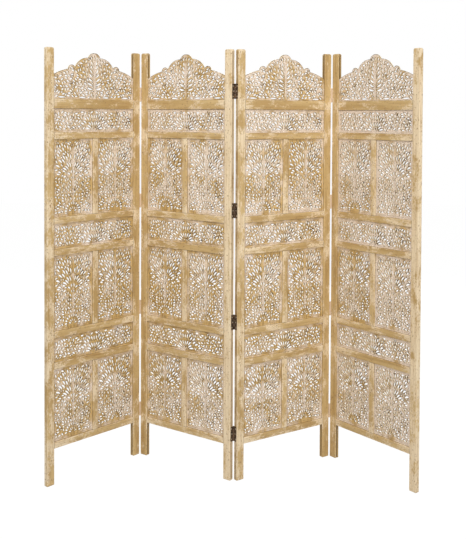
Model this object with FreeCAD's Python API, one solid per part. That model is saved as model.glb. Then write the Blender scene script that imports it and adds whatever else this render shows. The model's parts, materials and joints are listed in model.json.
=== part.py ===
import FreeCAD, Part
import math
import os

# Carved folding screen of four hinged leaves, in millimetres, +Z up and the front towards -Y.
# It stands open in a zigzag. The origin is on the floor, at the middle of the outer box.

# Leaf frame
screen_height = 1829.0
leaf_width = 508.0
leaf_thickness = 20.0
stile_face = 36.0
stile_end_chamfer = 3.0
foot_height = 152.0
bottom_rail_face = 27.0
mid_rail_face = 28.0
top_rail_face = 40.0
muntin_face = 26.0

# Clear heights of the openings, from the floor up
lower_panel_height = 306.0
lower_frieze_height = 103.0
middle_panel_height = 316.0
middle_frieze_height = 106.0
upper_panel_height = 326.0
upper_frieze_height = 100.0

# Carved boards, and the grooves that hold them and the stub tenons
board_thickness = 7.5
board_side_clearance = 0.2
groove_depth = 7.0
groove_end_clearance = 0.5
tenon_shoulder = 6.0
crest_side_rise = 100.0
crest_peak_rise = 200.0

# Butt hinges, let flush into the stile edges: heights of their middles at the centre fold and at the two
# outer folds, where the top one keeps its drop below the stile's top
top_hinge_drop = 177.0
hinge_heights = (197.0, 674.0, 1148.0, screen_height - top_hinge_drop)
outer_top_hinge_drop = 186.0
outer_hinge_heights = (210.0, 677.0, 1163.0, screen_height - outer_top_hinge_drop)
hinge_height = 63.5
hinge_plate_width = 16.0
hinge_plate_thickness = 1.6
hinge_let_in_clearance = 0.2
leaf_gap = 2.5
knuckle_count = 3
barrel_sides = 6
knuckle_end_play = 0.3
barrel_clearance = 0.45
pin_radius = 1.5
pin_clearance = 0.05

# Turn of each leaf from the front plane, in degrees
leaf_1_turn = 47.5
leaf_2_turn = -36.2
leaf_3_turn = 34.3
leaf_4_turn = -52.4

# Sizes that follow from the ones above
opening_width = leaf_width - 2 * stile_face
half_opening = opening_width / 2
panel_width = (opening_width - muntin_face) / 2
groove_width = board_thickness + 2 * board_side_clearance
groove_front = (leaf_thickness - groove_width) / 2
board_front = (leaf_thickness - board_thickness) / 2
tongue = groove_depth - groove_end_clearance
knuckle_radius = leaf_gap / 2 + hinge_plate_thickness
axis_stand_off = math.sqrt((knuckle_radius + barrel_clearance) ** 2 - (leaf_gap / 2) ** 2)

# Rows of carved boards from the bottom rail to the top rail
rows = [
    ("panel", lower_panel_height),
    ("frieze", lower_frieze_height),
    ("panel", middle_panel_height),
    ("frieze", middle_frieze_height),
    ("panel", upper_panel_height),
    ("frieze", upper_frieze_height),
]

# Pierced leaves of the carving on the right half of each board, mirrored to the left half unless they
# stand on its middle line: root across and up, tilt from upright in degrees, length and width.
# Across, length and width are shares of the board's clear width, up is a share of its clear height.
panel_leaves = [
    (0, 0.67, 0, 0.36, 0.11),
    (0.05, 0.61, 47, 0.42, 0.11),
    (0.05, 0.54, 80, 0.40, 0.11),
    (0.06, 0.46, 116, 0.38, 0.11),
    (0.06, 0.08, 40, 0.44, 0.12),
]
frieze_leaves = [
    (0.025, 0.22, 30, 0.15, 0.045),
    (0.11, 0.18, 62, 0.16, 0.045),
    (0.27, 0.62, 108, 0.17, 0.045),
]
crest_leaves = [
    (0.03, 0.66, 26, 0.11, 0.045),
    (0.05, 0.40, 58, 0.17, 0.045),
    (0.09, 0.14, 70, 0.24, 0.045),
]

# Where along a pierced leaf it is widest
leaf_belly = 0.42

# Ogee outline of the crest from its peak out to a stile.
# Each stretch has the point that it bends through, if any, and its end point,
# as shares of half the clear width and of the peak's rise.
crest_stretches = [
    ((0.073, 0.983), (0.124, 0.940)),
    (None, (0.156, 0.895)),
    ((0.312, 0.860), (0.477, 0.680)),
    ((0.564, 0.730), (0.638, 0.640)),
    ((0.826, 0.585), (1.0, crest_side_rise / crest_peak_rise)),
]


def box(x, y, z, width, depth, height):
    """A rectangular block with its lowest corner at x, y, z."""
    return Part.makeBox(width, depth, height, FreeCAD.Vector(x, y, z))


def upright_bar(radius, x, y, bottom, top):
    """A many-sided bar along Z, with its corners on the given radius and flats across X."""
    step = 2 * math.pi / barrel_sides
    corners = [
        FreeCAD.Vector(
            x + radius * math.cos((number + 0.5) * step),
            y + radius * math.sin((number + 0.5) * step),
            bottom,
        )
        for number in range(barrel_sides)
    ]
    outline = Part.makePolygon(corners + corners[:1])
    return Part.Face(outline).extrude(FreeCAD.Vector(0, 0, top - bottom))


def openings():
    """Kind, bottom and top of each row of boards."""
    spans = []
    level = foot_height + bottom_rail_face
    for kind, height in rows:
        spans.append((kind, level, level + height))
        level += height + mid_rail_face
    return spans


def crest_base():
    """Height of the top rail's upper edge."""
    return openings()[-1][2] + top_rail_face


def rail(bottom, face, grooved_below, grooved_above):
    """A rail between the stiles, grooved for boards, with a stub tenon at each end."""
    lower_shoulder = groove_depth if grooved_below else tenon_shoulder
    upper_shoulder = groove_depth if grooved_above else tenon_shoulder
    tenon_height = face - lower_shoulder - upper_shoulder
    body = box(stile_face, 0, bottom, opening_width, leaf_thickness, face)
    groove = box(stile_face, groove_front, bottom, opening_width, groove_width, groove_depth)
    if grooved_below:
        body = body.cut(groove)
    if grooved_above:
        body = body.cut(groove.translated(FreeCAD.Vector(0, 0, face - groove_depth)))
    tenon = box(
        stile_face - tongue,
        board_front,
        bottom + lower_shoulder,
        opening_width + 2 * tongue,
        board_thickness,
        tenon_height,
    )
    return body.fuse(tenon).removeSplitter()


def top_rail():
    return rail(openings()[-1][2], top_rail_face, True, True)


def mid_rails():
    return [rail(top, mid_rail_face, True, True) for kind, bottom, top in openings()[:-1]]


def bottom_rail():
    return rail(foot_height, bottom_rail_face, False, True)


def muntin(bottom, top):
    """The upright bar between two carved panels, grooved at both sides and tenoned into the rails."""
    left = (leaf_width - muntin_face) / 2
    body = box(left, 0, bottom, muntin_face, leaf_thickness, top - bottom)
    groove = box(left, groove_front, bottom, groove_depth, groove_width, top - bottom)
    body = body.cut(groove)
    body = body.cut(groove.translated(FreeCAD.Vector(muntin_face - groove_depth, 0, 0)))
    tenon = box(
        left + groove_depth,
        board_front,
        bottom - tongue,
        muntin_face - 2 * groove_depth,
        board_thickness,
        top - bottom + 2 * tongue,
    )
    return body.fuse(tenon).removeSplitter()


def pierced_leaf(root_x, root_z, tilt, length, width):
    """A pointed leaf-shaped cutter through a board, straight-sided as the chisel leaves it."""
    along = FreeCAD.Vector(math.sin(math.radians(tilt)), 0, math.cos(math.radians(tilt)))
    across = FreeCAD.Vector(along.z, 0, -along.x)
    root = FreeCAD.Vector(root_x, 0, root_z)
    belly = root + along * (length * leaf_belly)
    corners = [root, belly + across * (width / 2), root + along * length, belly - across * (width / 2)]
    outline = Part.makePolygon(corners + [root])
    return Part.Face(outline).extrude(FreeCAD.Vector(0, leaf_thickness, 0))


def carving(leaves, middle, bottom, width, height):
    """Leaf cutters of one board, mirrored about its upright middle line."""
    cutters = []
    for across, up, tilt, length, belly in leaves:
        for side in (1, -1) if across else (1,):
            root_x = middle + side * across * width
            root_z = bottom + up * height
            cutters.append(pierced_leaf(root_x, root_z, side * tilt, length * width, belly * width))
    return cutters


def carved_board(left, bottom, width, height, leaves):
    """A pierced board whose edges stand in the grooves around its opening."""
    board = box(
        left - tongue,
        board_front,
        bottom - tongue,
        width + 2 * tongue,
        board_thickness,
        height + 2 * tongue,
    )
    return board.cut(carving(leaves, left + width / 2, bottom, width, height))


def frieze_panels():
    return [
        carved_board(stile_face, bottom, opening_width, top - bottom, frieze_leaves)
        for kind, bottom, top in openings()
        if kind == "frieze"
    ]


def carved_panels():
    boards = []
    for kind, bottom, top in openings():
        if kind == "panel":
            for left in (stile_face, stile_face + panel_width + muntin_face):
                boards.append(carved_board(left, bottom, panel_width, top - bottom, panel_leaves))
    return boards


def muntins():
    return [muntin(bottom, top) for kind, bottom, top in openings() if kind == "panel"]


def crest_point(across, up):
    """A point of the crest's outline from its shares, on the front of the board."""
    return FreeCAD.Vector(
        leaf_width / 2 + across * half_opening, board_front, crest_base() + up * crest_peak_rise
    )


def crest_edges(side):
    """Edges of one half of the outline, from the peak to the stile on that side."""
    edges = []
    start = crest_point(0, 1)
    for bend, end in crest_stretches:
        finish = crest_point(side * end[0], end[1])
        if bend:
            edges.append(Part.Arc(start, crest_point(side * bend[0], bend[1]), finish).toShape())
        else:
            edges.append(Part.makeLine(start, finish))
        start = finish
    return edges


def crest():
    """The pierced ogee board on the top rail, held in the rail's and the stiles' grooves."""
    left = stile_face - tongue
    right = leaf_width - stile_face + tongue
    foot = crest_base() - tongue
    side = crest_base() + crest_side_rise
    corners = [
        crest_point(-1, crest_side_rise / crest_peak_rise),
        FreeCAD.Vector(left, board_front, side),
        FreeCAD.Vector(left, board_front, foot),
        FreeCAD.Vector(right, board_front, foot),
        FreeCAD.Vector(right, board_front, side),
        crest_point(1, crest_side_rise / crest_peak_rise),
    ]
    edges = crest_edges(1) + crest_edges(-1)
    for start, finish in zip(corners, corners[1:]):
        edges.append(Part.makeLine(start, finish))
    outline = Part.Wire(Part.__sortEdges__(edges))
    board = Part.Face(outline).extrude(FreeCAD.Vector(0, board_thickness, 0))
    return board.cut(
        carving(crest_leaves, leaf_width / 2, crest_base(), opening_width, crest_peak_rise)
    )


def stile(at_right, barrel_side, heights):
    """A full-height post, grooved all along its inner edge, with hinges let into its outer edge."""
    left = leaf_width - stile_face if at_right else 0
    body = box(left, 0, 0, stile_face, leaf_thickness, screen_height)
    ends = [
        edge
        for edge in body.Edges
        if abs(edge.BoundBox.ZLength) < stile_end_chamfer / 2
    ]
    body = body.makeChamfer(stile_end_chamfer, ends)
    groove_left = left if at_right else left + stile_face - groove_depth
    body = body.cut(box(groove_left, groove_front, 0, groove_depth, groove_width, screen_height))
    for centre in heights:
        body = body.cut(hinge_recess(at_right, barrel_side, centre))
    return body


def plate_block(at_right, barrel_side, centre, spare):
    """The flat of a hinge plate in the stile's outer edge, with spare room all round its rim."""
    left = leaf_width - hinge_plate_thickness if at_right else 0
    front = 0 if barrel_side == "front" else leaf_thickness - hinge_plate_width
    return box(
        left,
        front - spare,
        centre - hinge_height / 2 - spare,
        hinge_plate_thickness,
        hinge_plate_width + 2 * spare,
        hinge_height + 2 * spare,
    )


def hinge_recess(at_right, barrel_side, centre):
    return plate_block(at_right, barrel_side, centre, hinge_let_in_clearance)


def axis_place(at_right, barrel_side):
    """Plan place of a hinge axis, halfway across the gap and just proud of the face it folds on."""
    x = leaf_width + leaf_gap / 2 if at_right else -leaf_gap / 2
    y = -axis_stand_off if barrel_side == "front" else leaf_thickness + axis_stand_off
    return x, y


def knuckle(at_right, barrel_side, bottom, top):
    """One rolled knuckle and the strip that joins it to the plate."""
    x, y = axis_place(at_right, barrel_side)
    left = leaf_width - hinge_plate_thickness if at_right else 0
    front = y if barrel_side == "front" else leaf_thickness
    strip = box(left, front, bottom, hinge_plate_thickness, axis_stand_off, top - bottom)
    roll = upright_bar(knuckle_radius, x, y, bottom, top)
    return strip.fuse(roll)


def hinge_plate(at_right, barrel_side, centre):
    """A plate with every second knuckle: the outer ones at a leaf's right edge, the others at a left edge."""
    plate = plate_block(at_right, barrel_side, centre, 0)
    pitch = (hinge_height + knuckle_end_play) / knuckle_count
    first = 0 if at_right else 1
    for number in range(first, knuckle_count, 2):
        bottom = centre - hinge_height / 2 + number * pitch
        plate = plate.fuse(knuckle(at_right, barrel_side, bottom, bottom + pitch - knuckle_end_play))
    x, y = axis_place(at_right, barrel_side)
    bore_radius = (pin_radius + pin_clearance) / math.cos(math.pi / barrel_sides)
    bore = upright_bar(bore_radius, x, y, centre - hinge_height, centre + hinge_height)
    return plate.cut(bore).removeSplitter()


def hinge_plates(at_right, barrel_side, heights):
    return [hinge_plate(at_right, barrel_side, centre) for centre in heights]


def hinge_pins(at_right, barrel_side, heights):
    x, y = axis_place(at_right, barrel_side)
    return [
        upright_bar(pin_radius, x, y, centre - hinge_height / 2, centre + hinge_height / 2)
        for centre in heights
    ]


# Leaves from left to right: name, turn, and the side of the hinge barrels at its left and right edge
leaves = [
    ("leaf_1", leaf_1_turn, None, "front"),
    ("leaf_2", leaf_2_turn, "front", "back"),
    ("leaf_3", leaf_3_turn, "back", "front"),
    ("leaf_4", leaf_4_turn, "front", None),
]
folds = ["left_fold", "centre_fold", "right_fold"]
fold_heights = [outer_hinge_heights, hinge_heights, outer_hinge_heights]


def leaf_places():
    """Placement of each leaf, hinge to hinge, and the plan place of each fold's axis."""
    places = []
    axes = []
    for name, turn, left_barrel, right_barrel in leaves:
        spin = FreeCAD.Rotation(FreeCAD.Vector(0, 0, 1), turn)
        base = FreeCAD.Vector(0, 0, 0)
        if left_barrel:
            base = axes[-1] - spin.multVec(FreeCAD.Vector(*axis_place(False, left_barrel), 0))
        place = FreeCAD.Placement(base, spin)
        places.append(place)
        if right_barrel:
            axes.append(place.multVec(FreeCAD.Vector(*axis_place(True, right_barrel), 0)))
    return places, axes


def box_middle(places):
    """Plan middle of the outer box, from the corners of all leaves."""
    corners = [
        place.multVec(FreeCAD.Vector(x, y, 0))
        for place in places
        for x in (0, leaf_width)
        for y in (0, leaf_thickness)
    ]
    across = [corner.x for corner in corners]
    along = [corner.y for corner in corners]
    return FreeCAD.Vector((min(across) + max(across)) / 2, (min(along) + max(along)) / 2, 0)


def export(name, solids, place):
    """Write the solids of one node, set from the leaf's own frame into the screen's frame."""
    shape = solids[0] if len(solids) == 1 else Part.makeCompound(solids)
    shape.Placement = place.multiply(shape.Placement)
    shape.exportStep("parts/" + name + ".step")


def build():
    os.makedirs("parts", exist_ok=True)
    places, axes = leaf_places()
    middle = box_middle(places)
    for number, (name, turn, left_barrel, right_barrel) in enumerate(leaves):
        place = FreeCAD.Placement(places[number].Base - middle, places[number].Rotation)
        left_heights = fold_heights[number - 1] if left_barrel else ()
        right_heights = fold_heights[number] if right_barrel else ()
        export(name + "_left_stile", [stile(False, left_barrel, left_heights)], place)
        export(name + "_right_stile", [stile(True, right_barrel, right_heights)], place)
        export(name + "_bottom_rail", [bottom_rail()], place)
        export(name + "_mid_rails", mid_rails(), place)
        export(name + "_top_rail", [top_rail()], place)
        export(name + "_muntins", muntins(), place)
        export(name + "_carved_panels", carved_panels(), place)
        export(name + "_frieze_panels", frieze_panels(), place)
        export(name + "_crest", [crest()], place)
        if left_barrel:
            plates = hinge_plates(False, left_barrel, left_heights)
            export(folds[number - 1] + "_plates_on_" + name, plates, place)
        if right_barrel:
            plates = hinge_plates(True, right_barrel, right_heights)
            export(folds[number] + "_plates_on_" + name, plates, place)
            export(folds[number] + "_pins", hinge_pins(True, right_barrel, right_heights), place)
    for fold, axis in zip(folds, axes):
        print(fold, "axis at", round(axis.x - middle.x, 3), round(axis.y - middle.y, 3))


build()
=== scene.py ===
import cmath
import json
import math

import bpy
import numpy as np
from mathutils import Matrix, Vector
from mathutils.geometry import delaunay_2d_cdt


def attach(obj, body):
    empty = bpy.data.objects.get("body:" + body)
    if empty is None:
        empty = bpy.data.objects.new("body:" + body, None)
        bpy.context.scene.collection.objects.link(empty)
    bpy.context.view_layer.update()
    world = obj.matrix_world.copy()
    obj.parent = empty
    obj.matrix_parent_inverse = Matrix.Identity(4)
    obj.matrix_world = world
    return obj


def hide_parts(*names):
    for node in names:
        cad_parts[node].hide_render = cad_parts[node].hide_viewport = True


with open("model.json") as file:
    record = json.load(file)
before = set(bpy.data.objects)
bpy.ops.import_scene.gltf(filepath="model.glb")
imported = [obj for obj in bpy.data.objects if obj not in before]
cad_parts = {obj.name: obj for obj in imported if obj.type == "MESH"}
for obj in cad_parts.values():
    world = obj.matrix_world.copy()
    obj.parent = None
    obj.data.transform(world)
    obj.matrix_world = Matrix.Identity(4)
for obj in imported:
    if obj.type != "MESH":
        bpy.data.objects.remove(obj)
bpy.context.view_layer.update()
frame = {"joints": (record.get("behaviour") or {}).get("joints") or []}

# Carved folding screen. Shapes are worked out in millimetres in each leaf's own frame:
# x along the leaf, y from its front face (0) to its back, z up from the floor.
METRE = 0.001

# Leaf frame
screen_height = 1829.0
leaf_width = 508.0
leaf_thickness = 20.0
stile_face = 36.0
foot_height = 152.0
bottom_rail_face = 27.0
mid_rail_face = 28.0
top_rail_face = 40.0
muntin_face = 26.0
groove_depth = 7.0
groove_half = 3.95
rail_set_back = 0.5
bar_sink = 0.8
rows = [
    ("panel", 306.0), ("frieze", 103.0), ("panel", 316.0),
    ("frieze", 106.0), ("panel", 326.0), ("frieze", 100.0),
]

# Wear of the bars, from 1 rubbed and paler, partly a painted highlight, to -1 dirty and darker, partly
# painted
# shade: softened arrises and the points of their quarter turn, how far rubbing reaches on faces and edges,
# rounded ends, dirt and painted shade in seams, grooves and folds, wash gathered near joints
arris_radius = 1.3
arris_wander = 0.3
arris_shares = (0, 0.33, 0.67, 1)
# Paler wash along the rubbed arrises, partly a painted highlight
arris_wear = (0, 0.55, 1, 1, 0.55, 0)
face_rub = 5.0
edge_rub = 1.6
stile_end_rounds = (2.5, 6.5)
stile_end_wear = 0.8
joint_end_rounds = (1.2, 1.2)
joint_end_wear = -0.9
end_turns = (0.0, math.pi / 6, math.pi / 3, math.pi / 2)
seam_fade = 3.0
station_step = 28.0
notch_edge = 0.02
hair = 0.1
# Dark brown in seams, grooves and folds: partly dirt, partly painted shade
seam_dirt_and_shade = -0.9
groove_lip_dirt_and_shade = -0.4
groove_bed_dirt_and_shade = -0.6
fold_dirt_and_shade = -0.6
joint_reach = 34.0

# Waves of a wandering value: pace along the bar, shift with the seed and share
sway_waves = ((0.019, 1.7, 1.0), (0.051, 4.3, 0.7), (0.127, 2.9, 0.5))

# Seeds of the bars: the step from leaf to leaf and from arris to arris, and where each kind of bar starts
leaf_seed_step = 20.0
corner_seed_step = 5.1
stile_seeds = (1, 2)
rail_seed = 4
muntin_seed = 13

# How the pattern of the wood shifts with a bar's seed, and with the row and place of a carved board
grain_shift = np.array([0.37, 0.23, 0.61])
row_shift = 0.7
place_shift = 0.31
crest_shift = 6.3

# Carved boards
rim_half = 2.1
ridge_half = 3.75
ridge_run = 2.1
border_line = 7.0
border_margin = 10.0
line_depth = 0.9
line_half = 0.8
line_shade = 0.75
seam_reach = 1.3
seam_shade = 0.9
board_sink = 2.0
board_sharp = 42.0
crest_side_rise = 100.0
crest_peak_rise = 200.0
crest_margin = 6.0
crest_foot_margin = 4.0

# Pierced leaves: the wood between them, their outline along the spine, and those that fill the room left
web = 2.2
middle_gap = 2.8
spine_shares = np.array([0, 0.12, 0.30, 0.50, 0.70, 0.89, 1.0])
leaf_fullness = 1.25
leaf_roundness = 0.8
least_radius = 0.3
fan_scales = (1.0, 0.85, 0.7)
fill_tries = 3000
fill_length = 19.0
fill_width = 7.8
fill_spread = 100
fill_bend = 140
long_scales = (1.0, 0.88)
short_scales = (0.88, 0.72, 0.58)
fine_scale = 0.88

# Palmettes: first and last heading of each tier of leaves, their count, distance from the heart, length,
# width, bend, and how much further out every second one stands
panel_tiers = [
    (20, 62, 4, 26, 30, 7.6, 34, 5),
    (10, 66, 8, 60, 29, 8.0, 50, 10),
    (8, 56, 9, 98, 24, 7.8, 64, 8),
]
frieze_tiers = [
    (24, 80, 4, 16, 28, 7.6, 34, 5),
    (14, 78, 7, 48, 24, 7.8, 50, 8),
]

# Sunburst with its rays, and stem
sun_radius = 24.0
sun_fade = 1.5
ray_headings = (0, 38, 76)
ray_start = 7.0
ray_room = 9.0
ray_width = 5.6
stem_taper = 0.5
stem_margin = 2.0

# Points of the carved meshes: their spacing, how near an edge or a rim the free ones may come, how near
# two of them merge, and the kind of triangulation, which fills the whole hull
edge_step = 7.0
rim_step = 1.2
rim_offsets = (1.0, 2.1)
grid_step = 6.0
border_step = 5.0
seam_insets = [0.4, 2.2]
border_sides = (-1.2, 0.0, 1.2)
line_step = 3.0
line_sides = (0.0, 1.1, -1.1)
drawn_step = 0.8
edge_clearance = 1.2
rim_clearance = 0.7
hole_reach = 30.0
merge_distance = 0.02
whole_hull = 0

# Hinges
outer_hinge_heights = (210.0, 677.0, 1163.0, 1643.0)
centre_hinge_heights = (197.0, 674.0, 1148.0, 1652.0)
hinge_height = 63.5
hinge_plate_width = 16.0
hinge_plate_thickness = 1.6
hinge_let_in_clearance = 0.2
leaf_gap = 2.5
knuckle_count = 3
knuckle_radius = leaf_gap / 2 + hinge_plate_thickness
knuckle_end_play = 0.3
barrel_clearance = 0.45
knuckle_soft = 0.4
plate_soft = 1.0
strip_soft = 0.25
turned_sides = 20
pin_radius = 1.5
pin_tip_radius = 0.6
pin_tip = 0.7
pin_shoulder = 0.2
axis_stand_off = math.sqrt((knuckle_radius + barrel_clearance) ** 2 - (leaf_gap / 2) ** 2)
screw_radius = 2.9
screw_rise = 0.25
screw_slot = 0.8
screw_crown = 0.8
screw_levels = (-22.0, 0.0, 22.0)
screw_zigzag = (0.38, 0.62)

opening_width = leaf_width - 2 * stile_face
half_opening = opening_width / 2
panel_width = (opening_width - muntin_face) / 2
board_middle = leaf_thickness / 2

# Leaves from left to right: name, turn, fold that places it and whether that fold is at its right edge,
# then the side of the hinge barrels at its left and right edge
leaves = [
    ("leaf_1", 47.5, "left_fold", True, None, "front"),
    ("leaf_2", -36.2, "left_fold", False, "front", "back"),
    ("leaf_3", 34.3, "centre_fold", False, "back", "front"),
    ("leaf_4", -52.4, "right_fold", False, "front", None),
]

# Folds from left to right: name, heights of the hinges and how much of their iron the wash covers
folds = [
    ("left_fold", outer_hinge_heights, 0.8),
    ("centre_fold", centre_hinge_heights, 0.0),
    ("right_fold", outer_hinge_heights, 0.8),
]

# How the left and right stile of each leaf lean to the wash, above 0, or to bare gold, below it; the same
# for its left and right carved boards, for the rows of boards from the bottom up, and for the rails; the
# leans by side are partly painted light and shade, paler at a leaf's forward edge and darker at its valley
# fold
stile_wash_and_shade = {
    "leaf_1": (0.0, -0.07), "leaf_2": (-0.08, 0.14), "leaf_3": (0.0, -0.08), "leaf_4": (-0.08, 0.08),
}
board_wash_and_shade = {
    "leaf_1": (-0.02, -0.02), "leaf_2": (-0.03, 0.02), "leaf_3": (0.0, -0.01), "leaf_4": (0.04, 0.11),
}
row_wash = (0.01, -0.03, -0.04, -0.02, 0.0, 0.06)
rail_wash = {"bottom_rail": 0.0, "mid_rails": -0.03, "top_rail": -0.07}

# Floor, background and lamps in metres: name, place, what it points at, size and power
white = (1.0, 1.0, 1.0, 1.0)
floor_grey = (0.6, 0.6, 0.6, 1.0)
floor_half = 12.0
floor_glow = 1.1
floor_share = 0.88
room_light = 0.36
lamps = [
    ("key", (-1.7, -3.9, 4.2), (0.0, 0.0, 1.1), 1.6, 140.0),
    ("fill", (2.5, -3.6, 3.0), (0.0, 0.0, 1.0), 1.6, 90.0),
    ("back", (0.4, 4.2, 2.4), (0.0, 0.0, 1.0), 2.6, 110.0),
]


# Placing

def axis_place(at_right, barrel_side):
    """Plan place of a hinge axis in the leaf's own frame."""
    x = leaf_width + leaf_gap / 2 if at_right else -leaf_gap / 2
    y = -axis_stand_off if barrel_side == "front" else leaf_thickness + axis_stand_off
    return x, y


def leaf_place(turn, fold, at_right, barrel_side):
    """Matrix from a leaf's own frame, in millimetres, to the screen's frame."""
    spin = Matrix.Rotation(math.radians(turn), 4, "Z")
    joint = next(joint for joint in frame["joints"] if joint["name"] == fold)
    axis = Vector((joint["pos_m"][0], joint["pos_m"][1], 0.0))
    base = axis - spin @ Vector((*axis_place(at_right, barrel_side), 0.0)) * METRE
    return Matrix.Translation(base) @ spin


places = {}
for leaf_name, turn, fold_name, at_right_edge, *barrels in leaves:
    places[leaf_name] = leaf_place(turn, fold_name, at_right_edge, barrels[at_right_edge])


def openings():
    """Kind, bottom and top of each row of boards."""
    spans = []
    level = foot_height + bottom_rail_face
    for kind, height in rows:
        spans.append((kind, level, level + height))
        level += height + mid_rail_face
    return spans


crest_base = openings()[-1][2] + top_rail_face


def rails():
    """Node, bottom and face of each rail, from the bottom up."""
    spans = [("bottom_rail", foot_height, bottom_rail_face)]
    spans += [("mid_rails", top, mid_rail_face) for _, _, top in openings()[:-1]]
    return spans + [("top_rail", openings()[-1][2], top_rail_face)]


# Meshes

def new_mesh(name, points, faces, material, sharp=35.0, **values):
    """A mesh from points in millimetres, with named vertex values."""
    mesh = bpy.data.meshes.new(name)
    mesh.from_pydata((np.asarray(points, float) * METRE).tolist(), [], faces)
    mesh.validate()
    for key, value in values.items():
        value = np.asarray(value, np.float32)
        kind, field = ("FLOAT", "value") if value.ndim == 1 else ("FLOAT_VECTOR", "vector")
        mesh.attributes.new(key, kind, "POINT").data.foreach_set(field, value.ravel())
    mesh.shade_smooth()
    mesh.set_sharp_from_angle(angle=math.radians(sharp))
    mesh.materials.append(material)
    return mesh


def new_object(name, data):
    """An object put into the scene."""
    thing = bpy.data.objects.new(name, data)
    bpy.context.scene.collection.objects.link(thing)
    return thing


def put(name, mesh, leaf, node, tone_shift=0.0, wash=0.0, offset=(0.0, 0.0, 0.0)):
    """One piece on a leaf that stands for a CAD node, with its own shift of tone and lean to the wash; on
    stiles and boards the lean is partly painted light and shade.
    """
    piece = new_object(name, mesh)
    piece.matrix_world = places[leaf] @ Matrix.Translation(Vector(offset) * METRE)
    piece["tone"] = tone_shift
    piece["wash"] = wash
    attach(piece, leaf)
    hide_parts(node)


def sway(along, seed):
    """A smooth wandering value between about -1 and 1, the same on every run."""
    waves = [share * np.sin(along * pace + seed * shift) for pace, shift, share in sway_waves]
    return sum(waves) / sum(share for _, _, share in sway_waves)


def ring_faces(start, count, rings):
    """Faces of a closed solid through rings of equal count, each in order round the way they follow."""
    faces = []
    for number in range(rings - 1):
        for index in range(count):
            a = start + number * count + index
            b = start + number * count + (index + 1) % count
            faces.append((a, b, b + count, a + count))
    last = start + (rings - 1) * count
    faces.append(tuple(range(start + count - 1, start - 1, -1)))
    faces.append(tuple(range(last, last + count)))
    return faces


# Worn bars

# Flats of a bar's section in the order they follow its corners, with the sign of the side that each is on
flat_order = (("second_high", 1), ("first_low", -1), ("second_low", -1), ("first_high", 1))


def section(half_first, half_second, radii, flats):
    """Outline of a bar: two coordinates and the wear of each point, from 1 rubbed and paler, partly a
    painted highlight, to -1 dirty and darker, partly painted shade.

    Flats holds extra points for a named flat: place along it, depth below it and wear."""
    outline = []
    for number, (side_a, side_b) in enumerate([(1, 1), (-1, 1), (-1, -1), (1, -1)]):
        radius = radii[number]
        centre = np.array([side_a * (half_first - radius), side_b * (half_second - radius)])
        turns = [math.pi / 2 * (number + share) for share in arris_shares]
        arc = [centre + radius * np.array([math.cos(turn), math.sin(turn)]) for turn in turns]
        reach = [edge_rub if (half_second if odd else half_first) < board_middle + hair else face_rub
                 for odd in ((number + 1) % 2, number % 2)]
        before = arc[0] + reach[0] * np.array([math.sin(turns[0]), -math.cos(turns[0])])
        after = arc[-1] + reach[1] * np.array([-math.sin(turns[-1]), math.cos(turns[-1])])
        outline += [(*point, wear) for point, wear in zip([before, *arc, after], arris_wear)]
        name, sign = flat_order[number]
        extra = flats.get(name, [])
        for along, depth, wear in extra if number >= 2 else extra[::-1]:
            if name.startswith("first"):
                outline.append((sign * (half_first - depth), along, wear))
            else:
                outline.append((along, sign * (half_second - depth), wear))
    return np.array(outline)


def bar_stations(start, end, end_rounds, notches):
    """Places of the cross-sections along a bar, each with how far it is drawn in: ends rounded over."""
    low_round, high_round = end_rounds
    stations = []
    for turn in end_turns:
        step = 1 - math.cos(turn)
        drawn_in = 1 - math.sin(turn)
        stations.append((start + low_round * step, low_round * drawn_in))
        stations.append((end - high_round * step, high_round * drawn_in))
    first = start + low_round + seam_fade
    last = end - high_round - seam_fade
    count = max(3, int((end - start) / station_step))
    stations += [(along, 0.0) for along in np.linspace(first, last, count)]
    for notch in notches:
        for edge in (notch["bottom"], notch["top"]):
            stations += [(edge - notch_edge, 0.0), (edge + notch_edge, 0.0)]
    return sorted(stations)


def worn_bar(name, low, high, axis, seed, flats, end_rounds, end_wear, joints, notches=()):
    """A planed bar with softened, uneven arrises, and notches where hinge plates are let in.

    Joints are the places along it where other bars meet it and wash has gathered."""
    low = np.array(low, float)
    high = np.array(high, float)
    first, second = [index for index in range(3) if index != axis]
    half = (high - low) / 2
    centre = (high + low) / 2
    rings = []
    wears = []
    for along, drawn_in in bar_stations(low[axis], high[axis], end_rounds, notches):
        wander = [arris_wander * float(sway(along, seed + corner * corner_seed_step)) for corner in range(4)]
        radii = [arris_radius * (1 + share) for share in wander]
        outline = section(half[first], half[second], radii, flats)
        ring = np.zeros((len(outline), 3))
        ring[:, first] = centre[first] + outline[:, 0] * (1 - drawn_in / half[first])
        ring[:, second] = centre[second] + outline[:, 1] * (1 - drawn_in / half[second])
        ring[:, axis] = along
        rings.append(ring)
        at_end = min(along - low[axis] - end_rounds[0], high[axis] - end_rounds[1] - along) < hair
        wears.append(np.full(len(outline), end_wear) if at_end else outline[:, 2])
    faces = ring_faces(0, len(rings[0]), len(rings))
    points = np.concatenate(rings)
    for notch in notches:
        level = (points[:, 2] > notch["bottom"]) & (points[:, 2] < notch["top"])
        inside = level & ((points[:, 1] - notch["step"]) * notch["barrel"] > 0)
        points[inside, 0] = notch["limit"](points[inside, 0])
    grain = points[:, [first, second, axis]] * METRE + grain_shift * seed
    apart = abs(points[:, axis, None] - np.array(joints)[None, :]).min(1)
    gathered = np.exp(-(apart / joint_reach) ** 2)
    return new_mesh(name, points, faces, wood, wear=np.concatenate(wears), gathered=gathered, grain=grain)


# Pierced carving

def direction(heading):
    """Unit step across and up, for a heading in degrees from upright to the right."""
    return np.array([math.sin(math.radians(heading)), math.cos(math.radians(heading))])


def halton(number, base):
    """Evenly spread values between 0 and 1."""
    value = 0.0
    share = 1.0
    while number:
        share /= base
        value += share * (number % base)
        number //= base
    return value


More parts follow.
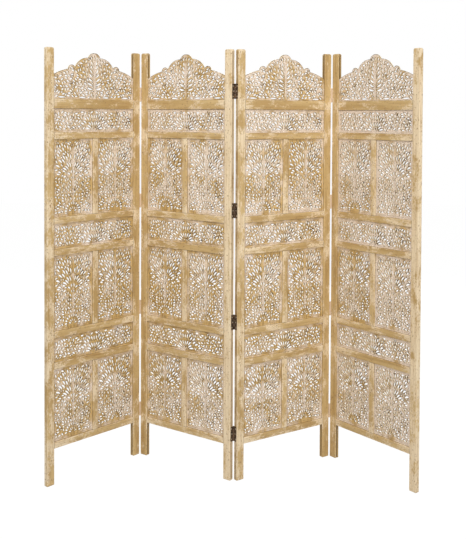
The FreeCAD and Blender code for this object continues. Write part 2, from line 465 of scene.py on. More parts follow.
def leaf_shape(root, heading, length, width, bend):
    """Outline of a pierced leaf, fuller towards its tip, and circles along it."""
    moves = np.array([direction(heading + bend * (share - 0.5)) for share in spine_shares])
    gaps = np.diff(spine_shares)[:, None] * length
    spine = np.concatenate([[root], root + np.cumsum(gaps * (moves[1:] + moves[:-1]) / 2, 0)])
    half = width / 2 * np.sin(math.pi * spine_shares ** leaf_fullness) ** leaf_roundness
    half[[0, -1]] = 0
    across = np.stack([moves[:, 1], -moves[:, 0]], 1)
    right = spine + across * half[:, None]
    left = spine - across * half[:, None]
    outline = np.concatenate([spine[:1], right[1:-1], spine[-1:], left[-2:0:-1]])
    circles = np.column_stack([spine, np.maximum(half, least_radius)])
    return outline, circles


class Board:
    """A board's pierced leaves and incised lines, mirrored about its middle line."""

    def __init__(self, inside):
        self.inside = inside
        self.taken = np.zeros((0, 3))
        self.holes = []
        self.lines = []
        self.suns = []
        self.stems = []

    def fits(self, circles):
        """Whether circles lie inside the board and leave a web to all that is cut already."""
        if not self.inside(*circles.T).all():
            return False
        if len(self.taken) == 0:
            return True
        x, z, radius = circles.T[:, :, None]
        taken_x, taken_z, taken_radius = self.taken.T[:, None, :]
        return (np.hypot(x - taken_x, z - taken_z) - radius - taken_radius).min() >= web

    def leaf(self, root, heading, length, width, bend=0.0, scales=(1.0,)):
        """Cut a leaf and its mirror image at the first scale that fits."""
        root = np.array(root, float)
        on_middle = root[0] == 0 and heading == 0
        for scale in scales:
            outline, circles = leaf_shape(root, heading, length * scale, width * scale, bend)
            clear = on_middle or (circles[:, 0] - circles[:, 2]).min() >= middle_gap
            if clear and self.fits(circles):
                self.taken = np.concatenate([self.taken, circles])
                self.holes.append(outline)
                if not on_middle:
                    self.holes.append((outline * [-1, 1])[::-1])
                return

    def fan(self, centre, first, last, count, radius, length, width, bend=0.0, stagger=0.0):
        """Leaves that spread from a centre between two headings, every second one set further out."""
        for number, heading in enumerate(np.linspace(first, last, count)):
            root = np.array(centre) + (radius + stagger * (number % 2)) * direction(heading)
            self.leaf(root, heading, length, width, bend, fan_scales)

    def roundel(self, centre, radius, count, length, width, slant):
        """A ring of curling leaves round a bud."""
        bud_length = length * 0.6
        bud_root = np.array(centre) - [0, bud_length / 2]
        self.leaf(bud_root, heading=1, length=bud_length, width=width * 0.9)
        for heading in np.arange(count) * 360 / count:
            root = np.array(centre) + radius * direction(heading)
            self.leaf(root, heading + slant, length, width, bend=36, scales=(1.0, 0.8))

    def sunburst(self, centre, radius):
        """A half rosette pierced by thin rays, under an incised rim."""
        centre = np.array(centre)
        self.suns.append((*centre, radius))
        for heading in ray_headings:
            self.leaf(centre + ray_start * direction(heading), heading, radius - ray_room, ray_width)
        self.taken = np.concatenate([self.taken, [(*centre, radius)]])
        self.lines.append([centre + direction(heading) * radius for heading in np.linspace(-90, 90, 19)])

    def stem(self, bottom, top, half):
        """A stem up the middle line, between two incised lines that draw together at its tip."""
        self.stems.append((bottom, top, half))
        for side in (-1, 1):
            self.lines.append([np.array([side * half, bottom]), np.array([side * half * stem_taper, top])])

    def fill(self, width, height, flow, fine_below=0.0):
        """Leaves in what room is left, long ones first, lying loosely along the flow of the vines.

        They are finer below a given level."""
        for number in range(1, fill_tries + 1):
            spot = np.array([halton(number, 2) * width / 2, halton(number, 3) * height])
            heading = flow(spot[0], spot[1]) + fill_spread * (halton(number, 5) - 0.5)
            bend = fill_bend * (halton(number, 7) - 0.5)
            root = spot - direction(heading) * fill_length / 2
            scales = long_scales if number < fill_tries / 3 else short_scales
            fine = fine_scale if spot[1] < fine_below else 1.0
            self.leaf(root, heading, fill_length * fine, fill_width * fine, bend, scales)


def inside_border(half_width, height):
    """A test of which circles lie within a board's plain border."""
    half = half_width - border_margin

    def inside(x, z, radius):
        in_height = (z - radius >= border_margin) & (z + radius <= height - border_margin)
        return (abs(x) + radius <= half) & in_height

    return inside


def panel_board(height):
    """Tree of life: a palmette of long leaves on a stem that grows from a sunburst."""
    board = Board(inside_border(panel_width / 2, height))
    sun = (0.0, height * 0.06)
    heart = height * 0.54
    flow_turn = height * 0.48
    fine_below = height * 0.5
    board.sunburst(sun, sun_radius)
    board.stem(sun[1] + sun_radius + 3, heart + 60, half=2.2)
    for tier in panel_tiers:
        board.fan((0.0, heart), *tier)
    board.leaf((6.0, heart + 12), heading=86, length=27, width=8.0, bend=50)
    board.leaf((38.0, heart + 16), heading=84, length=28, width=8.0, bend=76)
    board.fan(sun, 12, 88, count=5, radius=sun_radius + 3.5, length=15, width=7.8, bend=30)
    board.roundel((panel_width * 0.31, height * 0.28), radius=7.0, count=6, length=14, width=7.0, slant=50)

    def flow(x, z):
        middle = heart if z > flow_turn else sun[1]
        return math.degrees(math.atan2(x, z - middle))

    board.fill(panel_width, height, flow, fine_below)
    return board


def frieze_board(height):
    """A palmette at the middle with vines that scroll out to both sides."""
    board = Board(inside_border(half_opening, height))
    foot = (0.0, height * 0.08)
    vine_swing = 70
    vine_pace = 27.0
    for rise, length in ((14, 27), (46, 23)):
        board.leaf((0.0, foot[1] + rise), heading=0, length=length, width=7.6)
    for tier in frieze_tiers:
        board.fan(foot, *tier)
    for share in (0.50, 0.82):
        centre = (half_opening * share, height * 0.5)
        board.roundel(centre, radius=8, count=6, length=17, width=7.4, slant=50)

    def flow(x, z):
        return 90 + vine_swing * math.sin(x / vine_pace)

    board.fill(opening_width, height, flow)
    return board


# Ogee outline of the crest: the point each stretch bends through, if any, and its end,
# as shares of half the opening and of the peak's rise
crest_stretches = [
    ((0.073, 0.983), (0.124, 0.940)),
    (None, (0.156, 0.895)),
    ((0.312, 0.860), (0.477, 0.680)),
    ((0.564, 0.730), (0.638, 0.640)),
    ((0.826, 0.585), (1.0, crest_side_rise / crest_peak_rise)),
]


def arc_points(start, bend, end, count):
    """Points of the arc through three points, without its start."""
    first, through, last = [complex(*point) for point in (start, bend, end)]
    skew = (last - first) / (through - first)
    centre = first + (through - first) * (skew - abs(skew) ** 2) / (2j * skew.imag)
    spokes = [point - centre for point in (first, through, last)]
    sweep = cmath.phase(spokes[1] / spokes[0]) + cmath.phase(spokes[2] / spokes[1])
    points = [centre + spokes[0] * cmath.rect(1, sweep * (step + 1) / count) for step in range(count)]
    return [(point.real, point.imag) for point in points]


def crest_outline():
    """Right half of the ogee from the peak to the stile, in millimetres from the crest's foot."""
    start = (0.0, crest_peak_rise)
    points = [start]
    for bend, end in crest_stretches:
        finish = (end[0] * half_opening, end[1] * crest_peak_rise)
        if bend:
            through = (bend[0] * half_opening, bend[1] * crest_peak_rise)
            points += arc_points(start, through, finish, 8)
        else:
            points.append(finish)
        start = finish
    return points


def crest_board():
    """A trunk with branches under the ogee, and four slits along its foot."""
    edge = np.array(crest_outline())

    def inside(x, z, radius):
        top = np.interp(abs(x), edge[:, 0], edge[:, 1])
        near = np.hypot(abs(x)[:, None] - edge[None, :, 0], z[:, None] - edge[None, :, 1]).min(1)
        held = (abs(x) + radius <= half_opening - crest_margin) & (z - radius >= crest_foot_margin)
        return held & (z < top) & (near - radius >= crest_margin)

    board = Board(inside)
    flow_foot = crest_peak_rise * 0.2
    for start, length in ((43.0, 40), (149.0, 44)):
        board.leaf((start, 8.5), heading=90, length=length, width=6.5)
    board.stem(16.0, crest_peak_rise * 0.8, half=2.8)
    board.leaf((0.0, crest_peak_rise * 0.84), heading=0, length=18, width=6.8)
    for branch in range(7):
        root = (7.0, crest_peak_rise * (0.22 + 0.085 * branch))
        board.leaf(root, 78 - 9 * branch, 34 - 2 * branch, width=8.6, bend=-34, scales=fan_scales[:2])
    for across, up, length, slant in ((0.37, 0.25, 18, 50), (0.74, 0.27, 17, -50)):
        centre = (half_opening * across, crest_peak_rise * up)
        board.roundel(centre, radius=8, count=6, length=length, width=8.4, slant=slant)

    def flow(x, z):
        return math.degrees(math.atan2(x, z - flow_foot))

    board.fill(opening_width, crest_peak_rise, flow)
    return board


def along_line(points, step):
    """Points along an open line, no further apart than the step."""
    points = np.array(points, float)
    spots = []
    for start, end in zip(points, points[1:]):
        count = max(1, math.ceil(np.hypot(*(end - start)) / step))
        spots += [start + (end - start) * number / count for number in range(count)]
    return np.array(spots + [points[-1]])


def along_loop(loop, step):
    """Points along a closed loop, no further apart than the step."""
    loop = np.array(loop, float)
    return along_line(np.concatenate([loop, loop[:1]]), step)[:-1]


def sideways(ahead, offset):
    """Steps of one length to the right of each step ahead."""
    return offset * np.stack([ahead[:, 1], -ahead[:, 0]], 1) / np.hypot(*ahead.T)[:, None]


def beside_line(points, offset):
    """A line's points moved sideways by an offset."""
    return points + sideways(np.gradient(points, axis=0), offset)


def round_hole(hole, offset):
    """The corners of a hole moved outward by an offset."""
    (ax, az), (bx, bz) = hole[1] - hole[0], hole[2] - hole[0]
    ahead = np.roll(hole, -1, 0) - np.roll(hole, 1, 0)
    return hole + sideways(ahead, offset if ax * bz - az * bx > 0 else -offset)


def nearest(points, others):
    """Distance from each point to the nearest of the others."""
    return np.concatenate([
        np.hypot(block[:, None, 0] - others[None, :, 0], block[:, None, 1] - others[None, :, 1]).min(1)
        for block in np.array_split(points, max(1, len(points) // 400))
    ])


def within(loop, points):
    """Which points lie inside a closed loop."""
    inside = np.zeros(len(points), bool)
    for (ax, az), (bx, bz) in zip(loop, np.roll(loop, -1, 0)):
        if az != bz:
            crosses = (az > points[:, 1]) != (bz > points[:, 1])
            inside ^= crosses & (points[:, 0] < ax + (points[:, 1] - az) * (bx - ax) / (bz - az))
    return inside


def border_distance(points, opening):
    """How far points lie in from the edge of an opening: half width, height."""
    half, height = opening
    return np.minimum(half - abs(points[:, 0]), np.minimum(points[:, 1], height - points[:, 1]))


def inset_loop(opening, inset):
    """A rectangle inside an opening's edge, or in the grooves round it where the inset is below 0."""
    half, height = opening
    side = half - inset
    return [(-side, inset), (side, inset), (side, height - inset), (-side, height - inset)]


def surface_points(edge, board, rims, opening, lined):
    """Points of a board's face between its holes, where its height changes."""
    spots = [round_hole(hole, offset) for hole in board.holes for offset in rim_offsets]
    across = np.arange(edge[:, 0].min() + grid_step / 2, edge[:, 0].max(), grid_step)
    up = np.arange(edge[:, 1].min() + grid_step / 2, edge[:, 1].max(), grid_step)
    spots.append(np.array([(x, z) for x in across for z in up]))
    insets = seam_insets + ([border_line + side for side in border_sides] if lined else [])
    spots += [along_loop(inset_loop(opening, inset), border_step) for inset in insets]
    for line in board.lines:
        middle = along_line(line, line_step)
        spots += [beside_line(middle, side) for side in line_sides]
    spots = np.concatenate(spots)
    clear = (nearest(spots, edge) > edge_clearance) & (nearest(spots, rims) > rim_clearance)
    free = within(edge, spots) & clear
    for hole in board.holes:
        near = free & (np.hypot(*(spots - hole.mean(0)).T) < hole_reach)
        free[near] = ~within(hole, spots[near])
    return spots[free]


def triangulated(edge, holes, spots):
    """Points and triangles of a flat board with its holes left open."""
    loops = [edge, *holes]
    owner = [np.full(len(loop), number) for number, loop in enumerate(loops)]
    owner = np.concatenate([*owner, np.full(len(spots), -1)])
    links = []
    start = 0
    for loop in loops:
        links += [(start + i, start + (i + 1) % len(loop)) for i in range(len(loop))]
        start += len(loop)
    corners = [Vector(point) for point in np.concatenate([*loops, spots])]
    points, _, triangles, sources, *_ = delaunay_2d_cdt(corners, links, [], whole_hull, merge_distance)
    points = np.array([tuple(point) for point in points])
    owner = np.array([owner[source[0]] if source else -1 for source in sources])
    triangles = np.array(triangles)
    middles = points[triangles].mean(1)
    keep = np.ones(len(triangles), bool)
    for number, loop in enumerate(loops):
        mine = (owner[triangles] == number).all(1)
        if mine.any():
            keep[mine] = within(loop, middles[mine]) == (number == 0)
    return points, triangles[keep]


def carved_mesh(name, edge, board, free_edge, opening, lined, grain_up):
    """A pierced board in relief on both faces: webs rounded over, walls down through every leaf.

    The edge is a closed loop; free_edge is the stretch of it that shows, if any. The vertex value relief is
    1 on the webs, falls to 0 at a hole's rim and is -1 halfway down its wall; it is also lowered in the
    incised lines and along the seams, and the shader turns its low values into painted shade, dark brown
    near the rims, in the lines and along the seams; bare is 1 on the sunburst, where the wood shows, and -1
    on the stem, where the wash is thickest."""
    edge = along_loop(edge, edge_step)
    rims = [along_loop(hole, rim_step) for hole in board.holes]
    if free_edge:
        rims.append(along_line(free_edge, rim_step))
    rims = np.concatenate(rims)
    points, triangles = triangulated(edge, board.holes, surface_points(edge, board, rims, opening, lined))
    relief = np.clip(nearest(points, rims) / ridge_run, 0, 1)
    half = rim_half + (ridge_half - rim_half) * np.sqrt(1 - (1 - relief) ** 2)
    inset = border_distance(points, opening)
    cut = np.exp(-((inset - border_line) / line_half) ** 2) if lined else np.zeros(len(points))
    if board.lines:
        drawn = np.concatenate([along_line(line, drawn_step) for line in board.lines])
        cut = np.maximum(cut, np.exp(-(nearest(points, drawn) / line_half) ** 2))
    half -= line_depth * cut
    # Painted shade in the incised lines and along the seams: the value is lowered there, so the colour turns
    # dark brown
    at_seam = np.exp(-(np.maximum(inset, 0) / seam_reach) ** 2)
    relief *= (1 - line_shade * cut) * (1 - seam_shade * at_seam)
    across, up = points.T
    bare = np.zeros(len(points))
    for x, z, radius in board.suns:
        bare = np.maximum(bare, np.clip(sun_fade - np.hypot(across - x, up - z) / radius, 0, 1))
    for bottom, top, half_stem in board.stems:
        on_stem = (abs(across) < half_stem + stem_margin) & (up > bottom) & (up < top)
        bare[on_stem] = -1.0
    count = len(points)
    layers = [np.column_stack([across, board_middle + y, up]) for y in (-half, half, 0 * half)]
    sides = np.concatenate([triangles[:, [0, 1]], triangles[:, [1, 2]], triangles[:, [2, 0]]])
    seen = set(map(tuple, sides.tolist()))
    rim_sides = sorted((a, b) for a, b in seen if (b, a) not in seen)
    used = np.array(sorted({spot for side in rim_sides for spot in side}))
    wall = {spot: 2 * count + number for number, spot in enumerate(used.tolist())}
    faces = triangles.tolist() + (triangles[:, ::-1] + count).tolist()
    faces += [(b, a, wall[a], wall[b]) for a, b in rim_sides]
    faces += [(wall[b], wall[a], a + count, b + count) for a, b in rim_sides]
    both = np.concatenate([layers[0], layers[1], layers[2][used]])
    grain = both if grain_up else both[:, [2, 1, 0]]
    return new_mesh(
        name, both, faces, carved, board_sharp,
        relief=np.concatenate([relief, relief, np.full(len(used), -1.0)]),
        bare=np.concatenate([bare, bare, bare[used]]), grain=grain * METRE,
    )


# Materials

def tone(red, green, blue):
    """A colour as it shows on a screen, 0 to 255, made linear."""
    shares = [value / 255 for value in (red, green, blue)]
    linear = [share / 12.92 if share <= 0.04045 else ((share + 0.055) / 1.055) ** 2.4 for share in shares]
    return (*linear, 1.0)


def add(tree, kind, inputs=None, **settings):
    """A node with its settings, and its inputs set or linked."""
    node = tree.nodes.new(kind)
    for key, value in settings.items():
        setattr(node, key, value)
    for key, value in (inputs or {}).items():
        if isinstance(value, bpy.types.NodeSocket):
            tree.links.new(value, node.inputs[key])
        else:
            node.inputs[key].default_value = value
    return node


def noise(tree, vector, scale, detail, rough=0.55):
    values = {"Vector": vector, "Scale": scale, "Detail": detail, "Roughness": rough}
    return add(tree, "ShaderNodeTexNoise", values).outputs["Fac"]


def long_noise(tree, vector, scales, detail, rough=0.55):
    """Noise with its own scale along each direction."""
    vector = add(tree, "ShaderNodeMapping", {"Vector": vector, "Scale": scales}).outputs["Vector"]
    return noise(tree, vector, 1.0, detail, rough)


def between(tree, value, low, high):
    """The value as a smooth share of the way from low to high."""
    return add(
        tree, "ShaderNodeMapRange",
        {"Value": value, "From Min": low, "From Max": high}, interpolation_type="SMOOTHSTEP",
    ).outputs["Result"]


def math_node(tree, operation, first, second):
    return add(tree, "ShaderNodeMath", {0: first, 1: second}, operation=operation).outputs[0]


def mix(tree, share, first, second):
    return add(tree, "ShaderNodeMix", {0: share, 6: first, 7: second}, data_type="RGBA").outputs[2]


def attribute(tree, name, kind="GEOMETRY", output="Fac"):
    """A named value of the vertices or, with kind OBJECT, of the whole piece."""
    return add(tree, "ShaderNodeAttribute", attribute_type=kind, attribute_name=name).outputs[output]


def new_material(name):
    material = bpy.data.materials.new(name)
    material.use_nodes = True
    tree = material.node_tree
    return material, tree, tree.nodes["Principled BSDF"]


def wood_space(tree):
    """Grain coordinates of the piece, shifted by its own tone."""
    grain = attribute(tree, "grain", output="Vector")
    shift = attribute(tree, "tone", "OBJECT")
    return add(tree, "ShaderNodeVectorMath", {0: grain, 1: shift}, operation="ADD").outputs[0]


def lean(tree, value, cause, weight):
    """A value moved by a weighted cause."""
    return math_node(tree, "ADD", value, math_node(tree, "MULTIPLY", cause, weight))


def finish_surface(tree, shader, colour, roughness, height, depth):
    """Join colour, roughness and fine relief to the shader."""
    tree.links.new(colour, shader.inputs["Base Color"])
    tree.links.new(roughness, shader.inputs["Roughness"])
    bump = add(tree, "ShaderNodeBump", {"Height": height, "Strength": 0.4, "Distance": depth})
    tree.links.new(bump.outputs["Normal"], shader.inputs["Normal"])


def frame_wood():
    """Golden wood under a pinkish wash that clings in ragged patches, most at the arrises, where the paler
    line is partly a painted highlight, and at the joints; dark brown in the seams, grooves and fold edges is
    dirt and painted shade.
    """
    material, tree, shader = new_material("frame_wood")
    space = wood_space(tree)
    grain = long_noise(tree, space, (150.0, 150.0, 7.0), 8.0, 0.62)
    bands = long_noise(tree, space, (30.0, 30.0, 2.4), 4.0, 0.5)
    blotches = long_noise(tree, space, (26.0, 26.0, 12.0), 9.0, 0.68)
    specks = long_noise(tree, space, (150.0, 150.0, 80.0), 3.0)
    wear = attribute(tree, "wear")
    gold = mix(tree, between(tree, bands, 0.34, 0.66), tone(182, 149, 94), tone(206, 176, 122))
    gold = mix(tree, between(tree, grain, 0.50, 0.74), gold, tone(166, 130, 76))
    wash = mix(tree, between(tree, grain, 0.40, 0.68), tone(236, 216, 182), tone(214, 188, 148))
    # More wash where rubbed: a paler line along the arrises, partly a painted highlight
    cover = lean(tree, blotches, math_node(tree, "MAXIMUM", wear, 0.0), 0.07)
    cover = lean(tree, cover, attribute(tree, "gathered"), 0.13)
    cover = lean(tree, cover, specks, 0.55)
    cover = math_node(tree, "ADD", cover, attribute(tree, "wash", "OBJECT"))
    colour = mix(tree, between(tree, cover, 0.73, 0.89), gold, wash)
    colour = mix(tree, between(tree, specks, 0.56, 0.72), colour, tone(156, 122, 76))
    # Dark brown where the value is below 0: dirt, and painted shade in the seams, grooves and folds
    colour = mix(tree, between(tree, wear, -0.2, -1.2), colour, tone(96, 72, 46))
    height = lean(tree, grain, specks, 0.5)
    finish_surface(tree, shader, colour, between(tree, grain, 1.4, -0.3), height, 0.0007)
    return material


def carved_wood():
    """Washed carving: pinkish wash on the webs, golden wood in patches, pale walls; dark brown painted shade
    at rims, lines and seams.
    """
    material, tree, shader = new_material("carved_wood")
    space = wood_space(tree)
    grain = long_noise(tree, space, (130.0, 130.0, 14.0), 7.0, 0.62)
    patches = noise(tree, space, 14.0, 7.0, 0.64)
    specks = noise(tree, space, 300.0, 3.0)
    relief = attribute(tree, "relief")
    gold = mix(tree, between(tree, grain, 0.4, 0.66), tone(209, 175, 113), tone(160, 126, 72))
    wash = mix(tree, between(tree, specks, 0.38, 0.62), tone(255, 240, 223), tone(203, 180, 156))
    cover = lean(tree, patches, attribute(tree, "bare"), -0.12)
    cover = lean(tree, cover, specks, 0.14)
    cover = math_node(tree, "ADD", cover, attribute(tree, "wash", "OBJECT"))
    colour = mix(tree, between(tree, cover, 0.44, 0.68), gold, wash)
    # Painted shade: dark brown where the web rounds down to a hole's rim, in the incised lines and along the
    # seams
    colour = mix(tree, between(tree, relief, 0.72, 0.10), colour, tone(84, 62, 36))
    colour = mix(tree, between(tree, relief, -0.02, -0.3), colour, tone(255, 234, 186))
    height = lean(tree, grain, specks, 1.0)
    finish_surface(tree, shader, colour, between(tree, specks, 1.3, -0.4), height, 0.0006)
    return material


def hinge_iron():
    """Dark antiqued iron with a painted glint on the screws; on some hinges the wash has run over it."""
    material, tree, shader = new_material("hinge_iron")
    space = add(tree, "ShaderNodeTexCoord").outputs["Object"]
    cloud = noise(tree, space, 120.0, 6.0)
    pits = noise(tree, space, 900.0, 3.0)
    colour = mix(tree, between(tree, cloud, 0.4, 0.65), tone(62, 48, 38), tone(138, 110, 82))
    colour = mix(tree, between(tree, pits, 0.58, 0.7), colour, tone(44, 38, 34))
    # Painted glint: the screw heads are coloured near white to stand for a highlight
    colour = mix(tree, attribute(tree, "bright"), colour, tone(240, 224, 194))
    cover = math_node(tree, "ADD", cloud, attribute(tree, "wash", "OBJECT"))
    cover = between(tree, cover, 0.9, 1.25)
    colour = mix(tree, cover, colour, tone(216, 190, 160))
    bare_iron = math_node(tree, "SUBTRACT", 1.0, cover)
    tree.links.new(math_node(tree, "MULTIPLY", bare_iron, 0.45), shader.inputs["Metallic"])
    finish_surface(tree, shader, colour, between(tree, cloud, 0.9, 0.0), pits, 0.0003)
    return material


wood = frame_wood()
carved = carved_wood()
iron = hinge_iron()


# Leaf frames

# Points where boards meet rails and muntins, and round a stile's groove: dark there, dirt and painted shade
seam = [(-groove_half, 0.0, seam_dirt_and_shade), (groove_half, 0.0, seam_dirt_and_shade)]
groove = [
    (-groove_half, 0.0, groove_lip_dirt_and_shade), (-groove_half, groove_depth, groove_bed_dirt_and_shade),
    (groove_half, groove_depth, groove_bed_dirt_and_shade), (groove_half, 0.0, groove_lip_dirt_and_shade),
]


def stile_notches(at_right, barrel_side, heights):
    """Where the hinge plates are let into a stile's outer edge."""
    bed = leaf_width - hinge_plate_thickness if at_right else hinge_plate_thickness
    limit = (lambda x: np.minimum(x, bed)) if at_right else (lambda x: np.maximum(x, bed))
    reach = hinge_height / 2 + hinge_let_in_clearance
    depth = hinge_plate_width + hinge_let_in_clearance
    at_front = barrel_side == "front"
    shape = {
        "step": depth if at_front else leaf_thickness - depth,
        "barrel": -1 if at_front else 1,
        "limit": limit,
    }
    return [{"bottom": centre - reach, "top": centre + reach, **shape} for centre in heights]


def put_stile(leaf, seed, at_right, barrel_side, heights, wash):
    """A full-height post, grooved along its inner edge, with beds for the hinges in its outer edge."""
    side = "right" if at_right else "left"
    x = leaf_width - stile_face if at_right else 0.0
    notches = stile_notches(at_right, barrel_side, heights)
    flats = {"first_low" if at_right else "first_high": groove}
    if notches:
        step = notches[0]["step"] - board_middle
        across = sorted((-step, step - notch_edge, step + notch_edge))
        # Dirt and painted shade darken the outer edge face in the fold
        flats["first_high" if at_right else "first_low"] = [(place, 0.0, fold_dirt_and_shade) for place in across]
    name = f"{leaf}_{side}_stile_worn"
    joints = [bottom + face / 2 for _, bottom, face in rails()]
    mesh = worn_bar(
        name, (x, 0, 0), (x + stile_face, leaf_thickness, screen_height), 2, seed, flats,
        stile_end_rounds, stile_end_wear, joints, notches,
    )
    put(name, mesh, leaf, f"{leaf}_{side}_stile", 0.0, wash)


def put_bar(name, low, high, axis, seed, flats, leaf, node, wash=0.0):
    """A rail or muntin, whose ends butt against other bars."""
    joints = (low[axis], high[axis])
    mesh = worn_bar(name, low, high, axis, seed, flats, joint_end_rounds, joint_end_wear, joints)
    put(name, mesh, leaf, f"{leaf}_{node}", 0.0, wash)


def put_rails(leaf, seed):
    """Bottom rail, mid rails and top rail."""
    flats = {"second_low": seam, "second_high": seam}
    for place, (node, bottom, face) in enumerate(rails()):
        low = (stile_face - bar_sink, rail_set_back, bottom)
        high = (leaf_width - stile_face + bar_sink, leaf_thickness - rail_set_back, bottom + face)
        name = f"{leaf}_rail_{place}_worn"
        put_bar(name, low, high, 0, seed + place, flats, leaf, node, rail_wash[node])


def put_muntins(leaf, seed):
    """The short uprights between the tall panels."""
    left = (leaf_width - muntin_face) / 2
    panels = [(bottom, top) for kind, bottom, top in openings() if kind == "panel"]
    flats = {"first_low": seam, "first_high": seam}
    for place, (bottom, top) in enumerate(panels):
        low = (left, rail_set_back, bottom - bar_sink)
        high = (left + muntin_face, leaf_thickness - rail_set_back, top + bar_sink)
        put_bar(f"{leaf}_muntin_{place}_worn", low, high, 2, seed + place, flats, leaf, "muntins")


# Carved boards, each pattern made once and shared by the four leaves

board_meshes = []
for row, (kind, bottom, top) in enumerate(openings()):
    is_panel = kind == "panel"
    pattern = panel_board(top - bottom) if is_panel else frieze_board(top - bottom)
    opening = (panel_width / 2 if is_panel else half_opening, top - bottom)
    edge = inset_loop(opening, -board_sink)
    mesh = carved_mesh(f"{kind}_{row}", edge, pattern, None, opening, lined=True, grain_up=is_panel)
    board_meshes.append(mesh)
half_ogee = crest_outline()
ogee = [(-x, z) for x, z in half_ogee[::-1]] + half_ogee[1:]
crest_side = half_opening + board_sink
crest_edge = ogee[::-1] + [
    (-crest_side, crest_side_rise), (-crest_side, -board_sink),
    (crest_side, -board_sink), (crest_side, crest_side_rise),
]
opening = (half_opening, 2 * crest_peak_rise)
crest_mesh = carved_mesh("crest", crest_edge, crest_board(), ogee, opening, lined=False, grain_up=False)


def put_boards(leaf, number):
    """The six tall panels, three friezes and crest of one leaf."""
    panel_shift = (panel_width + muntin_face) / 2
    # Painted light and shade: the boards lean paler at the leaf's forward edge and darker towards its valley
    # fold
    left_wash_and_shade, right_wash_and_shade = board_wash_and_shade[leaf]
    middle_wash_and_shade = (left_wash_and_shade + right_wash_and_shade) / 2
    for row, (kind, bottom, _) in enumerate(openings()):
        boards = [(0.0, middle_wash_and_shade)]
        node = "frieze_panels"
        if kind == "panel":
            boards = [(-panel_shift, left_wash_and_shade), (panel_shift, right_wash_and_shade)]
            node = "carved_panels"
        for place, (shift, wash) in enumerate(boards):
            tone_shift = number + row * row_shift + place * place_shift
            put(
                f"{leaf}_{kind}_{row}_{place}", board_meshes[row], leaf, f"{leaf}_{node}",
                tone_shift, wash + row_wash[row], (leaf_width / 2 + shift, 0.0, bottom),
            )
    put(
        f"{leaf}_crest_carved", crest_mesh, leaf, f"{leaf}_crest",
        number + crest_shift, middle_wash_and_shade, (leaf_width / 2, 0.0, crest_base),
    )


# Hinges

class Solid:
    """Points and faces gathered for one mesh, and how much a painted glint lightens the metal at each point.
    """

    def __init__(self):
        self.points = []
        self.faces = []
        self.bright = []

    def prism(self, rings, bright=0.0):
        """A closed solid through rings of points."""
        count = len(rings[0])
        self.faces += ring_faces(len(self.points), count, len(rings))
        for ring in rings:
            self.points += ring
        self.bright += [bright] * (count * len(rings))

    def lathe(self, x, y, profile):
        """A turned shape about an upright axis, from radius and height pairs."""
        turns = [2 * math.pi * number / turned_sides for number in range(turned_sides)]
        self.prism([
            [(x + radius * math.cos(turn), y + radius * math.sin(turn), level) for turn in turns]
            for radius, level in profile
        ])

    def block(self, low, high, soft):
        """A plate or strip with its corners softened in the plane of its face."""
        (x0, y0, z0), (x1, y1, z1) = low, high
        rim = [
            (y0 + soft, z0), (y1 - soft, z0), (y1, z0 + soft), (y1, z1 - soft),
            (y1 - soft, z1), (y0 + soft, z1), (y0, z1 - soft), (y0, z0 + soft),
        ]
        self.prism([[(x, y, z) for y, z in rim] for x in (x0, x1)])

    def screw(self, face, outward, y, z):
        """A slotted screw head on a plate's face, as the two halves beside its slot."""
        half_slot = screw_slot / 2
        first_turn = math.asin(half_slot / screw_radius)
        turns = np.linspace(first_turn, math.pi - first_turn, 9)
        top = face + outward * screw_rise
        for side in (1, -1):
            reach = side * screw_radius
            slot = z + side * half_slot
            rim = [(y + reach * math.cos(turn), z + reach * math.sin(turn)) for turn in turns]
            crown = [(y + (a - y) * screw_crown, slot + (b - slot) * screw_crown) for a, b in rim]
            rings = [[(face, a, b) for a, b in rim], [(top, a, b) for a, b in crown]]
            # The screw heads get a painted glint, a near-white colour in place of a highlight
            self.prism(rings if outward > 0 else [ring[::-1] for ring in rings], bright=1.0)


def knuckle_profile(bottom, top):
    """A rolled knuckle with softened ends."""
    neck = knuckle_radius - knuckle_soft
    return [
        (neck, bottom), (knuckle_radius, bottom + knuckle_soft),
        (knuckle_radius, top - knuckle_soft), (neck, top),
    ]


def hinge_plates(at_right, barrel_side, heights):
    """Four plates with every second knuckle and their screws, as they sit in a stile's edge."""
    solid = Solid()
    x, y = axis_place(at_right, barrel_side)
    left = leaf_width - hinge_plate_thickness if at_right else 0.0
    front = 0.0 if barrel_side == "front" else leaf_thickness - hinge_plate_width
    strip_front = y if barrel_side == "front" else leaf_thickness
    pitch = (hinge_height + knuckle_end_play) / knuckle_count
    for centre in heights:
        bottom = centre - hinge_height / 2
        high = (left + hinge_plate_thickness, front + hinge_plate_width, bottom + hinge_height)
        solid.block((left, front, bottom), high, plate_soft)
        for number in range(0 if at_right else 1, knuckle_count, 2):
            low = bottom + number * pitch
            top = low + pitch - knuckle_end_play
            solid.lathe(x, y, knuckle_profile(low, top))
            strip_end = (left + hinge_plate_thickness, strip_front + axis_stand_off, top)
            solid.block((left, strip_front, low), strip_end, strip_soft)
        for number, level in enumerate(screw_levels):
            across = front + hinge_plate_width * screw_zigzag[number % 2]
            face, outward = (leaf_width, 1) if at_right else (0.0, -1)
            solid.screw(face, outward, across, centre + level)
    return solid


def hinge_pins(at_right, barrel_side, heights):
    """Pins through the knuckles, with domed ends."""
    solid = Solid()
    x, y = axis_place(at_right, barrel_side)
    for centre in heights:
        bottom = centre - hinge_height / 2
        top = bottom + hinge_height
        solid.lathe(x, y, [
            (pin_tip_radius, bottom - pin_tip), (pin_radius, bottom - pin_shoulder),
            (pin_radius, top + pin_shoulder), (pin_tip_radius, top + pin_tip),
        ])
    return solid


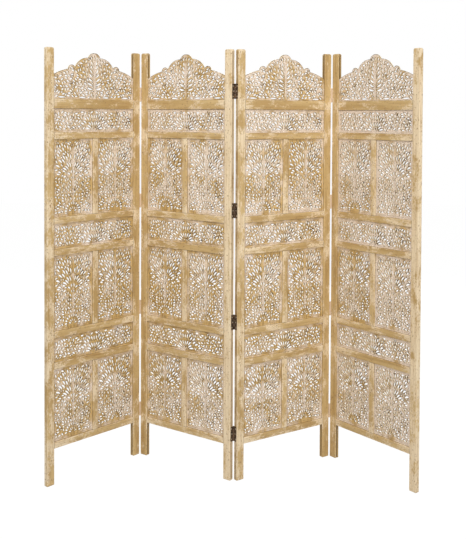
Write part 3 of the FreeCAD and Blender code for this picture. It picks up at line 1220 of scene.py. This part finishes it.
def put_hinges(leaf, at_right, barrel_side, fold, heights, wash):
    """Plates on one edge of a leaf, and the pins where it carries them."""
    sets = [(f"{fold}_plates_on_{leaf}", "rolled", hinge_plates)]
    if at_right:
        sets.append((f"{fold}_pins", "round", hinge_pins))
    for node, form, make in sets:
        solid = make(at_right, barrel_side, heights)
        mesh = new_mesh(node, solid.points, solid.faces, iron, bright=solid.bright)
        put(f"{node}_{form}", mesh, leaf, node, 0.0, wash)


for leaf_number, (leaf_name, _, _, _, *barrels) in enumerate(leaves):
    leaf_seed = leaf_number * leaf_seed_step
    no_fold = ("", (), 0.0)
    leaf_folds = [folds[leaf_number - 1 + side] if barrels[side] else no_fold for side in (0, 1)]
    for side in (0, 1):
        seed = leaf_seed + stile_seeds[side]
        # The stiles' lean is partly painted light and shade: paler at the leaf's forward edge, darker at its
        # valley fold
        wash = stile_wash_and_shade[leaf_name][side]
        put_stile(leaf_name, seed, side == 1, barrels[side], leaf_folds[side][1], wash)
    put_rails(leaf_name, leaf_seed + rail_seed)
    put_muntins(leaf_name, leaf_seed + muntin_seed)
    put_boards(leaf_name, leaf_number)
    for side in (0, 1):
        if barrels[side]:
            put_hinges(leaf_name, side == 1, barrels[side], *leaf_folds[side])


# Floor, background and light

def seen_share(tree):
    """1 where the white is looked at, straight, mirrored or through glass, and 0 where it only lights."""
    path = add(tree, "ShaderNodeLightPath").outputs
    mirrored = math_node(tree, "MAXIMUM", path["Is Glossy Ray"], path["Is Transmission Ray"])
    return math_node(tree, "MAXIMUM", path["Is Camera Ray"], mirrored)


def floor_material():
    """White floor that shows the shadow of the screen only faintly, as in a cut-out picture."""
    material, tree, shader = new_material("white_floor")
    tree.nodes.remove(shader)
    diffuse = add(tree, "ShaderNodeBsdfDiffuse", {"Color": floor_grey})
    glow = add(tree, "ShaderNodeEmission", {"Color": white, "Strength": floor_glow})
    share = math_node(tree, "MULTIPLY", seen_share(tree), floor_share)
    blend = add(tree, "ShaderNodeMixShader", {0: share, 1: diffuse.outputs[0], 2: glow.outputs[0]})
    tree.links.new(blend.outputs[0], tree.nodes["Material Output"].inputs["Surface"])
    return material


def put_floor():
    mesh = bpy.data.meshes.new("floor")
    corners = [(x * floor_half, y * floor_half, 0) for x, y in ((-1, -1), (1, -1), (1, 1), (-1, 1))]
    mesh.from_pydata(corners, [], [(0, 1, 2, 3)])
    mesh.materials.append(floor_material())
    floor = new_object("floor", mesh)


def put_background():
    world = bpy.data.worlds.new("white_room")
    bpy.context.scene.world = world
    world.use_nodes = True
    tree = world.node_tree
    room = tree.nodes["Background"]
    room.inputs["Color"].default_value = white
    room.inputs["Strength"].default_value = room_light
    plain = add(tree, "ShaderNodeBackground", {"Color": white, "Strength": 1.0})
    blend = add(tree, "ShaderNodeMixShader", {0: seen_share(tree), 1: room.outputs[0], 2: plain.outputs[0]})
    tree.links.new(blend.outputs[0], tree.nodes["World Output"].inputs["Surface"])


def put_lamp(name, place, target, size, power):
    light = bpy.data.lights.new(name, "AREA")
    light.energy = power
    light.size = size
    lamp = new_object(name, light)
    lamp.location = place
    lamp.rotation_euler = (Vector(target) - Vector(place)).to_track_quat("-Z", "Y").to_euler()


def put_camera():
    camera = bpy.data.cameras.new("camera")
    camera.sensor_fit = "HORIZONTAL"
    camera.sensor_width = 36.0
    camera.lens = 68.9
    camera.shift_y = -0.276
    eye = new_object("camera", camera)
    eye.location = (0.003, -3.843, 1.544)
    pitch_down = 1.54
    roll = -0.27
    eye.rotation_euler = (math.radians(90 - pitch_down), math.radians(roll), 0.0)
    bpy.context.scene.camera = eye


put_floor()
put_background()
for lamp_values in lamps:
    put_lamp(*lamp_values)
put_camera()
bpy.context.scene.view_settings.view_transform = "Standard"
